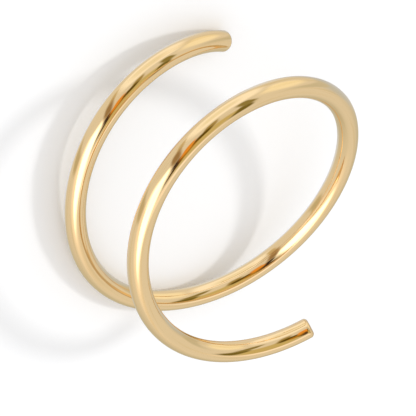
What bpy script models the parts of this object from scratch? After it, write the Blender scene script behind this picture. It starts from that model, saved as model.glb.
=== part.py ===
"""Spiral double hoop nose ring: one length of round gold wire, coiled about one and two
thirds turns and drawn open, lying on its side as it would rest on a table."""

import math

import bmesh
import bpy
import numpy as np
from mathutils import Matrix, Vector

MM = 0.001

# Wire: 22 gauge, its ends cut flush and their rims rounded so that they pass through skin
WIRE_DIAMETER = 0.644 * MM
END_RIM_ROUND = 0.13 * MM

# Coil, measured to the middle of the wire. It is opened by hand, so it isn't an even helix
TURNS = 1.617
START_ANGLE = math.radians(-96.3)
MIDDLE_RADIUS = 4.57 * MM  # half way along the wire
END_RADIUS = 3.89 * MM  # at both ends, which curl in a little
RISE = 5.23 * MM  # from one end to the other, along the coil's axis
END_SPLAY = 0.195  # share of the rise that is gained mostly near the ends
SIDE_DRIFT = 0.915 * MM  # how far the turns lean along -X from the first end to the last
OVAL = 0.26 * MM  # added to the radius one way, and taken off it across
OVAL_ANGLE = math.radians(-71.2)

# Fineness of the faceted solid
SECTIONS = 112
SIDES = 20
RIM_STEPS = 4

# Pale yellow gold, polished
GOLD = (0.86, 0.62, 0.30, 1.0)
GOLD_ROUGHNESS = 0.1


def clear_scene():
    for item in list(bpy.data.objects):
        bpy.data.objects.remove(item, do_unlink=True)


def new_collection(name):
    collection = bpy.data.collections.new(name)
    bpy.context.scene.collection.children.link(collection)
    return collection


def gold_material():
    material = bpy.data.materials.new("polished_gold")
    material.use_nodes = True
    shader = material.node_tree.nodes["Principled BSDF"]
    shader.inputs["Base Color"].default_value = GOLD
    shader.inputs["Metallic"].default_value = 1.0
    shader.inputs["Roughness"].default_value = GOLD_ROUGHNESS
    material.diffuse_color = GOLD
    return material


def coil_point(share):
    """The middle of the wire at a share of its sweep, 0 to 1, with the coil's axis along Z."""
    angle = START_ANGLE + share * TURNS * 2 * math.pi
    along = 2 * share - 1
    radius = MIDDLE_RADIUS + (END_RADIUS - MIDDLE_RADIUS) * along**2
    radius += OVAL * math.cos(2 * (angle - OVAL_ANGLE))
    lean = -SIDE_DRIFT / 2 * along
    height = RISE / 2 * ((1 - END_SPLAY) * along + END_SPLAY * along**3)
    return Vector((radius * math.cos(angle) + lean, radius * math.sin(angle), height))


def wire_stations():
    """Points along the wire with its radius at each, from 0 to 1 of the full radius.

    Between the ends they are evenly spaced. At each end they follow the rounded rim."""
    points = [coil_point(i / SECTIONS) for i in range(SECTIONS + 1)]
    first_way = (points[0] - points[1]).normalized()
    last_way = (points[-1] - points[-2]).normalized()
    wire_radius = WIRE_DIAMETER / 2
    rim = []
    for step in range(1, RIM_STEPS + 1):
        turn = step / RIM_STEPS * math.pi / 2
        out = END_RIM_ROUND * math.sin(turn)
        drop = END_RIM_ROUND * (1 - math.cos(turn))
        rim.append((out, 1 - drop / wire_radius))
    first_rim = [(points[0] + first_way * out, share) for out, share in reversed(rim)]
    last_rim = [(points[-1] + last_way * out, share) for out, share in rim]
    return first_rim + [(point, 1.0) for point in points] + last_rim


def centre_of_mass(points):
    """Of an even wire through these points."""
    steps = [((a + b) / 2, (b - a).length) for a, b in zip(points, points[1:])]
    whole = sum(length for _, length in steps)
    return sum((middle * length for middle, length in steps), Vector()) / whole


def resting_turn(points):
    """The turn that lays the coil on its side, its first end down.

    The wire is round and even, so it rests as the convex hull of its middle line does: on
    the face of the hull that its centre of mass is above. Of those faces, the one that
    looks most nearly down the coil's axis is the lying one."""
    centre = centre_of_mass(points)
    hull = bmesh.new()
    for point in points:
        hull.verts.new(point)
    bmesh.ops.convex_hull(hull, input=hull.verts)
    bmesh.ops.triangulate(hull, faces=hull.faces)
    found = []
    for face in hull.faces:
        corners = [vert.co for vert in face.verts]
        normal = (corners[1] - corners[0]).cross(corners[2] - corners[0])
        if normal.length == 0:
            continue
        normal.normalize()
        if normal.dot(corners[0] - centre) < 0:
            normal.negate()
            corners.reverse()
        foot = centre + normal * normal.dot(corners[0] - centre)
        inside = all(
            (corners[(i + 1) % 3] - corners[i]).cross(foot - corners[i]).dot(normal) >= 0
            for i in range(3)
        )
        if inside:
            found.append(normal)
    hull.free()
    down = min(found, key=lambda normal: normal.z)
    return down.rotation_difference(Vector((0, 0, -1))).to_matrix().to_4x4()


def coiled_wire(name, stations):
    """A wire with round section along the stations, in the coil's own frame."""
    curve = bpy.data.curves.new(name, "CURVE")
    curve.dimensions = "3D"
    curve.bevel_depth = WIRE_DIAMETER / 2
    curve.bevel_resolution = (SIDES - 4) // 2
    curve.use_fill_caps = True
    spline = curve.splines.new("POLY")
    spline.points.add(len(stations) - 1)
    for spot, (point, share) in zip(spline.points, stations):
        spot.co = (*point, 1)
        spot.radius = share
    return bpy.data.objects.new(name, curve)


def set_down(item, turn):
    """Turns an object, then moves it so that it stands on Z 0 with the middle of its outline at X 0, Y 0."""
    item.matrix_world = turn
    bpy.context.view_layer.update()
    evaluated = item.evaluated_get(bpy.context.evaluated_depsgraph_get())
    mesh = evaluated.to_mesh()
    corners = np.array([item.matrix_world @ vert.co for vert in mesh.vertices])
    evaluated.to_mesh_clear()
    low, high = corners.min(axis=0), corners.max(axis=0)
    shift = Vector((-(low[0] + high[0]) / 2, -(low[1] + high[1]) / 2, -low[2]))
    item.matrix_world = Matrix.Translation(shift) @ turn
    bpy.context.view_layer.update()


def main():
    clear_scene()
    collection = new_collection("spiral_nose_ring")
    stations = wire_stations()
    hoop = coiled_wire("spiral_hoop", stations)
    hoop.data.materials.append(gold_material())
    collection.objects.link(hoop)
    set_down(hoop, resting_turn([point for point, _ in stations]))


main()
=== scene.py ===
import math

import bmesh
import bpy
from mathutils import Matrix, Quaternion, Vector


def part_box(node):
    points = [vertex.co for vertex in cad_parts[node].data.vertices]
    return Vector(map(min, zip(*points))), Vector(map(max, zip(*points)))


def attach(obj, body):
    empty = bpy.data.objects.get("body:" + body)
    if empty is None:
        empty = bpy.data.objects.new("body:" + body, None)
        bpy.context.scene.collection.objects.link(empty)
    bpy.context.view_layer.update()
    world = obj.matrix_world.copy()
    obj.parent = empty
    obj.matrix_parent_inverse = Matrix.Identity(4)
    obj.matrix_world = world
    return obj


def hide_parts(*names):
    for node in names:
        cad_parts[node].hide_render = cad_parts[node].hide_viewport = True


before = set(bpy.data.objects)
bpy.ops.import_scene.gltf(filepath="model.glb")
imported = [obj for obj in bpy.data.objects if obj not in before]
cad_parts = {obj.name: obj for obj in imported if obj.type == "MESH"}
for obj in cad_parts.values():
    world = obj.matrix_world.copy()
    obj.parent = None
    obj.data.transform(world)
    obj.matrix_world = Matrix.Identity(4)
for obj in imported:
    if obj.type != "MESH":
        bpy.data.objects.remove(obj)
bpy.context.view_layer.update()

mm = 0.001
scene = bpy.context.scene

# The wire. Sizes are to the middle of the wire, the same ones that the solid was made from
wire = {
    "name": "drawn_gold_wire",
    "diameter": 0.644 * mm,  # 22 gauge
    "rimRound": 0.13 * mm,  # rounded edge of the flush cut
    "turns": 1.617,
    "startAngle": math.radians(-96.3),
    "middleRadius": 4.57 * mm,  # half way along the wire
    "endRadius": 3.89 * mm,  # both ends curl in a little
    "rise": 5.23 * mm,  # from end to end along the coil's axis
    "endSplay": 0.195,  # share of the rise gained mostly near the ends
    "sideDrift": 0.915 * mm,  # lean of the turns along -X
    "oval": 0.26 * mm,  # added to the radius one way, taken off it across
    "ovalAngle": math.radians(-71.2),
    "restStations": 112,  # points that the resting pose is worked out from
    "sections": 720,
    "sides": 96,
    "rimSteps": 8,
    "faceRings": 6,
}

# Marks in the surface, as heights: what the die, the bending and the polish left
surfaceRelief = {
    "dieLines": 22,  # lines drawn along the wire, counted round it
    "dieLineSets": 4,  # finer and finer
    "dieLineDepth": 0.0009 * mm,
    "dieLineDrift": 0.14,  # how far a line wanders round the wire, in radians
    "bendWave": 0.0016 * mm,  # slow swells from bending round a mandrel
    "bendWaveLength": 2.6 * mm,
    "bendWaveSlant": 0.4,
    "bendWaveTurn": 0.8,  # how far the swells wander round the wire, in radians
    "cutDish": 0.006 * mm,  # hollow that the cutter leaves in the end face
}


def coilPoint(share):
    angle = wire["startAngle"] + share * wire["turns"] * 2 * math.pi
    along = 2 * share - 1
    radius = wire["middleRadius"] + (wire["endRadius"] - wire["middleRadius"]) * along**2
    radius += wire["oval"] * math.cos(2 * (angle - wire["ovalAngle"]))
    lean = -wire["sideDrift"] / 2 * along
    splay = wire["endSplay"]
    height = wire["rise"] / 2 * ((1 - splay) * along + splay * along**3)
    return Vector((radius * math.cos(angle) + lean, radius * math.sin(angle), height))


def middleOf(points):
    # where a wire with this middle line balances
    total, weight = Vector(), 0.0
    for here, following in zip(points, points[1:]):
        length = (following - here).length
        total += (here + following) / 2 * length
        weight += length
    return total / weight


def restingTurn(points):
    # the hull face under the balance point that lies most nearly across the coil's axis
    hull = bmesh.new()
    for point in points:
        hull.verts.new(point)
    bmesh.ops.convex_hull(hull, input=hull.verts, use_existing_faces=False)
    bmesh.ops.triangulate(hull, faces=hull.faces)
    hull.normal_update()
    balance = middleOf(points)
    best = Vector((0, 0, -1))
    lowest = 0.0
    for face in hull.faces:
        normal = face.normal
        corners = [corner.co for corner in face.verts]
        if normal.dot(corners[0] - balance) < 0:
            normal = -normal
        foot = balance + normal * normal.dot(corners[0] - balance)
        sides = []
        for index in range(3):
            edge = corners[(index + 1) % 3] - corners[index]
            sides.append(edge.cross(foot - corners[index]).dot(normal) > 0)
        if len(set(sides)) == 1 and normal.z < lowest:
            lowest = normal.z
            best = normal.copy()
    hull.free()
    return best.rotation_difference(Vector((0, 0, -1))).to_matrix()


def middleLine(turn):
    # the wire's middle line, at rest, with its running length
    count = wire["sections"]
    points = [turn @ coilPoint(index / count) for index in range(count + 1)]
    lengths = [0.0]
    for here, following in zip(points, points[1:]):
        lengths.append(lengths[-1] + (following - here).length)
    return points, lengths


def framesAlong(points):
    # a right and an up across the wire at each point, carried along without twist
    tangents = []
    last = len(points) - 1
    for index in range(len(points)):
        ahead = points[min(index + 1, last)]
        behind = points[max(index - 1, 0)]
        tangents.append((ahead - behind).normalized())
    right = tangents[0].orthogonal().normalized()
    frames = []
    for index, tangent in enumerate(tangents):
        if index:
            right = tangents[index - 1].rotation_difference(tangent) @ right
        right = (right - tangent * right.dot(tangent)).normalized()
        frames.append((tangent, right, tangent.cross(right)))
    return frames


def wave(value, seed):
    # a smooth wandering number between about -1 and 1: three sines that keep out of step
    total = 0.0
    for step in range(1, 4):
        pace = 0.61 * step + 0.37
        start = seed * (1.7 + step)
        total += math.sin(value * pace + start) / step
    return total / 1.6


def reliefAt(length, turnAngle):
    # height of the surface over a perfect cylinder
    along = length / surfaceRelief["bendWaveLength"]
    swell = wave(along + surfaceRelief["bendWaveSlant"] * math.sin(turnAngle), 3)
    swellAngle = surfaceRelief["bendWaveTurn"] * wave(along * 0.4, 5)
    height = surfaceRelief["bendWave"] * swell * math.cos(turnAngle - swellAngle)
    drift = surfaceRelief["dieLineDrift"] * wave(along * 0.5, 7)
    for line in range(1, surfaceRelief["dieLineSets"] + 1):
        count = round(surfaceRelief["dieLines"] * line / 3)
        strength = 0.5 + 0.5 * wave(along * 0.45 + line, 11 + line)
        ridge = math.sin(count * (turnAngle + drift) + 2.1 * line)
        height += surfaceRelief["dieLineDepth"] * strength * ridge / line
    return height


def endRings(sign):
    # one end from the middle of its face to the foot of its rounded rim, or the other way
    rim = wire["rimRound"]
    flat = wire["diameter"] / 2 - rim
    rings = []
    for ring in range(wire["faceRings"]):
        share = ring / wire["faceRings"]
        dish = -surfaceRelief["cutDish"] * (1 - share**2)
        rings.append((rim + dish, flat * share, 1.0))
    for step in range(wire["rimSteps"]):
        lift = math.pi / 2 * (1 - step / wire["rimSteps"])
        rings.append((rim * math.sin(lift), flat + rim * math.cos(lift), math.sin(lift) ** 3))
    if sign > 0:
        rings.reverse()
    return [(sign * out, ringRadius, faceShare) for out, ringRadius, faceShare in rings]


def ringsOfWire(points, lengths):
    # rows of vertices from the middle of one end face to the middle of the other
    frames = framesAlong(points)
    last = len(points) - 1
    rings = [(0, *ring) for ring in endRings(-1)]
    rings += [(index, 0.0, wire["diameter"] / 2, 0.0) for index in range(len(points))]
    rings += [(last, *ring) for ring in endRings(1)]
    rows = []
    for index, out, ringRadius, faceShare in rings:
        tangent, right, up = frames[index]
        centre = points[index] + tangent * out
        rows.append((centre, right, up, ringRadius, lengths[index] + out, faceShare))
    return rows


def addFaces(builder, grid):
    sides = wire["sides"]
    for lower, higher in zip(grid, grid[1:]):
        for side in range(sides):
            after = (side + 1) % sides
            if len(lower) == 1:
                builder.faces.new((lower[0], higher[after], higher[side]))
            elif len(higher) == 1:
                builder.faces.new((lower[side], lower[after], higher[0]))
            else:
                builder.faces.new((lower[side], lower[after], higher[after], higher[side]))
    bmesh.ops.recalc_face_normals(builder, faces=builder.faces)
    for face in builder.faces:
        face.smooth = True


def setDown(mesh):
    # down on the table, in the solid's place
    nodeLow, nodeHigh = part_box("spiral_hoop")
    corners = [vertex.co for vertex in mesh.vertices]
    low = Vector([min(corner[axis] for corner in corners) for axis in range(3)])
    high = Vector([max(corner[axis] for corner in corners) for axis in range(3)])
    shift = (Vector(nodeLow) + Vector(nodeHigh)) / 2 - (low + high) / 2
    shift.z = nodeLow[2] - low.z
    mesh.transform(Matrix.Translation(shift))
    return shift


def buildWire():
    stations = wire["restStations"]
    turn = restingTurn([coilPoint(index / stations) for index in range(stations + 1)])
    points, lengths = middleLine(turn)
    builder = bmesh.new()
    spot = builder.verts.layers.float_vector.new("wireSpot")
    faceMark = builder.verts.layers.float.new("endFace")
    grid = []
    for centre, right, up, ringRadius, length, faceShare in ringsOfWire(points, lengths):
        count = wire["sides"] if ringRadius > 0 else 1
        row = []
        for side in range(count):
            angle = 2 * math.pi * side / wire["sides"]
            across = right * math.cos(angle) + up * math.sin(angle)
            height = reliefAt(length, angle) * (1 - faceShare) if ringRadius > 0 else 0
            vert = builder.verts.new(centre + across * (ringRadius + height))
            # millimetres across the wire and along it, for the finish
            vert[spot] = Vector((
                math.cos(angle) * ringRadius / mm,
                math.sin(angle) * ringRadius / mm,
                length / mm,
            ))
            vert[faceMark] = faceShare
            row.append(vert)
        grid.append(row)
    addFaces(builder, grid)
    mesh = bpy.data.meshes.new(wire["name"])
    builder.to_mesh(mesh)
    builder.free()
    shift = setDown(mesh)
    item = bpy.data.objects.new(wire["name"], mesh)
    scene.collection.objects.link(item)
    print("wire built:", len(mesh.polygons), "faces,", round(lengths[-1] / mm, 2), "mm long")
    return item, turn, shift


def node(tree, kind, **values):
    made = tree.nodes.new(kind)
    for name, value in values.items():
        setattr(made, name, value)
    return made


def stretched(tree, source, share):
    # the wire's own coordinates, stretched along the wire
    mapping = node(tree, "ShaderNodeMapping")
    mapping.inputs["Scale"].default_value = (1, 1, share)
    tree.links.new(source, mapping.inputs["Vector"])
    return mapping.outputs["Vector"]


def noiseOf(tree, vector, scale, detail, roughness=0.5):
    made = node(tree, "ShaderNodeTexNoise")
    made.inputs["Scale"].default_value = scale
    made.inputs["Detail"].default_value = detail
    made.inputs["Roughness"].default_value = roughness
    tree.links.new(vector, made.inputs["Vector"])
    return made.outputs["Fac"]


def rangeOf(tree, value, fromRange, toRange, **values):
    made = node(tree, "ShaderNodeMapRange", **values)
    made.inputs["From Min"].default_value = fromRange[0]
    made.inputs["From Max"].default_value = fromRange[1]
    made.inputs["To Min"].default_value = toRange[0]
    made.inputs["To Max"].default_value = toRange[1]
    tree.links.new(value, made.inputs["Value"])
    return made.outputs["Result"]


def mixOf(tree, factor, first, second):
    made = node(tree, "ShaderNodeMix", data_type="RGBA")
    tree.links.new(factor, made.inputs["Factor"])
    for socket, value in ((made.inputs["A"], first), (made.inputs["B"], second)):
        if isinstance(value, tuple):
            socket.default_value = value
        else:
            tree.links.new(value, socket)
    return made.outputs["Result"]


def mathOf(tree, operation, first, second=None):
    made = node(tree, "ShaderNodeMath", operation=operation)
    for index, value in enumerate((first, second)):
        if value is None:
            continue
        if isinstance(value, (int, float)):
            made.inputs[index].default_value = value
        else:
            tree.links.new(value, made.inputs[index])
    return made.outputs[0]


def bumpOf(tree, height, strength, distance, under=None):
    made = node(tree, "ShaderNodeBump")
    made.inputs["Strength"].default_value = strength
    made.inputs["Distance"].default_value = distance
    tree.links.new(height, made.inputs["Height"])
    if under:
        tree.links.new(under, made.inputs["Normal"])
    return made.outputs["Normal"]


# Pale yellow gold, drawn and polished. Scales are counts to the millimetre round the wire, and
# stretches are the same along it, as a share
goldFinish = {
    "colour": (0.895, 0.665, 0.375, 1.0),
    "lineShadeColour": (0.82, 0.57, 0.27, 1.0),  # painted shade in the bottoms of the die lines
    "endColour": (0.80, 0.50, 0.24, 1.0),  # where the cutter burnished the ends
    "roughness": 0.05,
    "lineRoughness": 0.13,
    "endRoughness": 0.24,
    "lineScale": 9.0,
    "lineStretch": 0.035,
    "lineDetail": 0.55,
    "lineShadeFrom": (0.52, 0.68),  # the share of the noise that counts as a line
    "lineShadeShare": (0.0, 0.55),
    "lineGlossFrom": (0.45, 0.75),
    "lineBump": 0.6,
    "lineHeight": 0.0022 * mm,
    "scratchScale": 30.0,
    "scratchStretch": 0.25,
    "scratchBump": 0.12,
    "scratchHeight": 0.0008 * mm,
    "cloudScale": 2.2,  # slow changes in the polish
    "cloudStretch": 0.4,
    "cloudFrom": (0.35, 0.7),
    "cloudGloss": (-0.02, 0.03),  # added to the roughness
}


def buildGold():
    material = bpy.data.materials.new("polished_gold_wire")
    material.use_nodes = True
    tree = material.node_tree
    shader = tree.nodes["Principled BSDF"]
    shader.inputs["Metallic"].default_value = 1.0
    spot = node(tree, "ShaderNodeAttribute", attribute_name="wireSpot").outputs["Vector"]
    ends = node(tree, "ShaderNodeAttribute", attribute_name="endFace").outputs["Fac"]

    lineVector = stretched(tree, spot, goldFinish["lineStretch"])
    lines = noiseOf(tree, lineVector, goldFinish["lineScale"], 3, goldFinish["lineDetail"])
    scratchVector = stretched(tree, spot, goldFinish["scratchStretch"])
    scratches = noiseOf(tree, scratchVector, goldFinish["scratchScale"], 2)
    cloudVector = stretched(tree, spot, goldFinish["cloudStretch"])
    clouds = noiseOf(tree, cloudVector, goldFinish["cloudScale"], 3)

    # painted shade: the die lines are coloured darker where their bottoms would fall in shade
    lineShadeMask = rangeOf(tree, lines, goldFinish["lineShadeFrom"], goldFinish["lineShadeShare"])
    colour = mixOf(tree, lineShadeMask, goldFinish["colour"], goldFinish["lineShadeColour"])
    colour = mixOf(tree, ends, colour, goldFinish["endColour"])
    tree.links.new(colour, shader.inputs["Base Color"])

    lineRange = (goldFinish["roughness"], goldFinish["lineRoughness"])
    lineGloss = rangeOf(tree, lines, goldFinish["lineGlossFrom"], lineRange)
    cloudGloss = rangeOf(tree, clouds, goldFinish["cloudFrom"], goldFinish["cloudGloss"])
    endGloss = node(tree, "ShaderNodeMix", data_type="FLOAT")
    tree.links.new(ends, endGloss.inputs["Factor"])
    tree.links.new(mathOf(tree, "ADD", lineGloss, cloudGloss), endGloss.inputs["A"])
    endGloss.inputs["B"].default_value = goldFinish["endRoughness"]
    tree.links.new(endGloss.outputs["Result"], shader.inputs["Roughness"])

    drawn = bumpOf(tree, lines, goldFinish["lineBump"], goldFinish["lineHeight"])
    scratched = bumpOf(
        tree, scratches, goldFinish["scratchBump"], goldFinish["scratchHeight"], drawn
    )
    tree.links.new(scratched, shader.inputs["Normal"])
    print("gold finish made")
    return material


# The studio: a white tent with a softbox and a few cards, each at a direction from the ring.
# Bearing turns from +X towards +Y, height is over the horizon, sizes are half angles in degrees.
# A later card hangs in front of the ones before it
studio = {
    "tent": (0.82, 0.82, 0.80),
    "cards": [
        # name, (bearing, height, half width, half height, tilt, softness), colour
        ("shadedBack", (128, -32, 44, 34, 0, 0.9), (0.60, 0.60, 0.52)),
        ("coolSide", (-176, -22, 14, 30, 0, 0.9), (0.62, 0.70, 0.82)),
        ("lowGlow", (165, -78, 34, 15, 0, 0.9), (0.82, 0.96, 1.26)),
        ("warmTop", (-100, 86, 24, 20, 0, 0.6), (0.64, 0.56, 0.28)),
        ("leftPanel", (-72, -10, 33, 37, 0, 0.35), (1.12, 1.15, 1.18)),
        ("leftPanelMiddle", (-68, -8, 17, 18, 0, 0.7), (0.99, 0.99, 0.90)),
        ("backPanel", (-128, 10, 17, 27, 0, 0.6), (1.06, 1.05, 0.92)),
        ("rightCurtain", (-162, 8, 7, 30, 0, 0.8), (0.66, 0.67, 0.62)),
        ("tableFold", (21, -27, 7, 30, 0, 0.8), (0.60, 0.56, 0.42)),
        ("softGlow", (48, 28, 40, 18, 24, 0.9), (1.12, 1.05, 0.97)),
        ("keySpill", (100, 61, 24, 8, 8, 0.8), (1.15, 1.12, 1.15)),
        ("softboxFoot", (11, 18, 9, 11, 0, 0.8), (1.5, 1.36, 1.32)),
        ("keySoftbox", (34, 43, 33, 17, 15, 0.55), (2.5, 2.45, 2.45)),
        ("farTopFlag", (-158, 66, 18, 5, 0, 0.6), (0.20, 0.165, 0.035)),
        ("sideFlag", (-108, 50, 19, 5.5, -42, 0.7), (0.30, 0.26, 0.09)),
        ("shadeFlag", (-60, 52, 6, 15, 0, 0.7), (0.42, 0.34, 0.14)),
        ("oliveFlag", (-47, 64, 8.5, 11.5, -10, 0.6), (0.13, 0.09, 0.005)),
        ("darkTopFlag", (14, 71.5, 13, 5.5, 6, 0.6), (0.10, 0.06, 0.03)),
        ("lowPost", (-31, -14, 4, 20, -13, 0.8), (0.66, 0.56, 0.36)),
        ("cameraPost", (-20, 25, 5.5, 31, -13, 0.9), (0.36, 0.25, 0.13)),
        ("darkCornerFlag", (-7, 61, 6, 9.5, -20, 0.6), (0.035, 0.022, 0.015)),
        ("amberCardTop", (-18, 73, 7.5, 5, 25, 0.7), (0.50, 0.25, 0.02)),
        ("amberCard", (-27, 55, 14, 5.5, 62, 0.5), (0.88, 0.37, 0.05)),
    ],
    "cornerPower": 3.0,  # 2 gives round cards, more gives squarer ones
    "evenLight": (1.0, 1.0, 1.0),  # what the tent gives the floor
    "pastFloor": (1.0, 1.0, 1.0),
}


def directionOf(bearing, height):
    bearing, height = math.radians(bearing), math.radians(height)
    return Vector((
        math.cos(height) * math.cos(bearing),
        math.cos(height) * math.sin(bearing),
        math.sin(height),
    ))


def alongAxis(tree, direction, axis):
    dot = node(tree, "ShaderNodeVectorMath", operation="DOT_PRODUCT")
    tree.links.new(direction, dot.inputs[0])
    dot.inputs[1].default_value = axis
    return dot.outputs["Value"]


def cardMask(tree, direction, name, place):
    # a rounded rectangle in the card's own plane, faded at its edge
    bearing, height, halfWidth, halfHeight, tilt, softness = place
    centre = directionOf(bearing, height)
    level = Vector((0, 0, 1)).cross(centre).normalized()
    spin = Quaternion(centre, math.radians(tilt))
    total = 0.0
    for axis, halfAngle in ((level, halfWidth), (centre.cross(level), halfHeight)):
        reach = math.sin(math.radians(halfAngle))
        offset = mathOf(tree, "DIVIDE", alongAxis(tree, direction, spin @ axis), reach)
        offset = mathOf(tree, "ABSOLUTE", offset)
        offset = mathOf(tree, "POWER", offset, studio["cornerPower"])
        total = mathOf(tree, "ADD", offset, total)
    total = mathOf(tree, "POWER", total, 1 / studio["cornerPower"])
    edge = (1 + softness / 2, 1 - softness / 2)
    faded = rangeOf(tree, total, edge, (0, 1), interpolation_type="SMOOTHSTEP", label=name)
    facing = mathOf(tree, "GREATER_THAN", alongAxis(tree, direction, centre), 0.0)
    return mathOf(tree, "MULTIPLY", faded, facing)


def buildStudio():
    world = bpy.data.worlds.new("studio_tent")
    scene.world = world
    world.use_nodes = True
    tree = world.node_tree
    direction = node(tree, "ShaderNodeTexCoord").outputs["Generated"]
    colour = (*studio["tent"], 1.0)
    for name, place, tint in studio["cards"]:
        mask = cardMask(tree, direction, name, place)
        colour = mixOf(tree, mask, colour, (*tint, 1.0))
    # only reflections show the cards: the floor gets even light, and past it there is plain white
    lightPath = node(tree, "ShaderNodeLightPath")
    lit = mixOf(tree, lightPath.outputs["Is Glossy Ray"], (*studio["evenLight"], 1.0), colour)
    shown = mixOf(tree, lightPath.outputs["Is Camera Ray"], lit, (*studio["pastFloor"], 1.0))
    tree.links.new(shown, tree.nodes["Background"].inputs["Color"])
    print("studio made with", len(studio["cards"]), "cards")


paleFloor = {
    "name": "pale_floor",
    "size": 0.6,
    "colour": (0.91, 0.915, 0.925, 1.0),
    "roughness": 0.9,
}


def buildFloor():
    bpy.ops.mesh.primitive_plane_add(size=paleFloor["size"], location=(0, 0, 0))
    floor = bpy.context.object
    floor.name = paleFloor["name"]
    material = bpy.data.materials.new(paleFloor["name"])
    material.use_nodes = True
    shader = material.node_tree.nodes["Principled BSDF"]
    shader.inputs["Base Color"].default_value = paleFloor["colour"]
    shader.inputs["Roughness"].default_value = paleFloor["roughness"]
    shader.inputs["Specular IOR Level"].default_value = 0.0
    floor.data.materials.append(material)
    floor.visible_glossy = False  # the ring mirrors the tent instead
    print("floor laid")


# One small light, kept out of the ring's reflections, for the soft shadow on the left
shadowLamp = {
    "name": "shadow_lamp",
    "bearing": -158,
    "height": 43,
    "away": 0.25,
    "size": 0.035,
    "power": 0.16,
}


def buildLamp():
    light = bpy.data.lights.new(shadowLamp["name"], "AREA")
    light.shape = "DISK"
    light.size = shadowLamp["size"]
    light.energy = shadowLamp["power"]
    lamp = bpy.data.objects.new(shadowLamp["name"], light)
    lamp.location = directionOf(shadowLamp["bearing"], shadowLamp["height"]) * shadowLamp["away"]
    lamp.rotation_mode = "QUATERNION"
    lamp.rotation_quaternion = lamp.location.to_track_quat("Z", "Y")
    lamp.visible_glossy = False
    scene.collection.objects.link(lamp)
    print("shadow lamp hung")


# The camera, placed in the coil's own frame and then laid down with it
cameraRig = {
    "turnVector": (-0.1628, 2.3431, 0.8939),  # camera's turn from the coil, axis times angle
    "unit": 4.574 * mm,
    "aside": 0.1038,  # the coil's middle from the picture's middle, in units
    "below": -0.0495,
    "away": 20.02,
    "pixelsWide": 416,
    "focusPixels": 3049.5,
    "sensor": 36.0,
    "nearest": 2 * mm,
}


def buildCamera(turn, shift):
    turned = Vector(cameraRig["turnVector"])
    intoCamera = Quaternion(turned.normalized(), turned.length).to_matrix()
    offset = Vector((cameraRig["aside"], cameraRig["below"], cameraRig["away"]))
    offset *= cameraRig["unit"]
    # picture axes run right, down and away, the camera's own run right, up and back
    flip = Matrix(((1, 0, 0), (0, -1, 0), (0, 0, -1)))
    fromWorld = flip @ intoCamera @ turn.transposed()
    data = bpy.data.cameras.new("camera")
    data.sensor_width = cameraRig["sensor"]
    data.lens = cameraRig["focusPixels"] / cameraRig["pixelsWide"] * cameraRig["sensor"]
    data.clip_start = cameraRig["nearest"]
    camera = bpy.data.objects.new("camera", data)
    place = fromWorld.transposed() @ (-(flip @ offset)) + shift
    camera.matrix_world = Matrix.Translation(place) @ fromWorld.transposed().to_4x4()
    scene.collection.objects.link(camera)
    scene.camera = camera
    print("camera at", [round(value / mm, 1) for value in place], "mm, lens", round(data.lens, 1))


wireItem, restTurn, restShift = buildWire()
wireItem.data.materials.append(buildGold())
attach(wireItem, "root")
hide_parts("spiral_hoop")
buildCamera(restTurn, restShift)
buildStudio()
buildFloor()
buildLamp()
scene.view_settings.view_transform = "Standard"
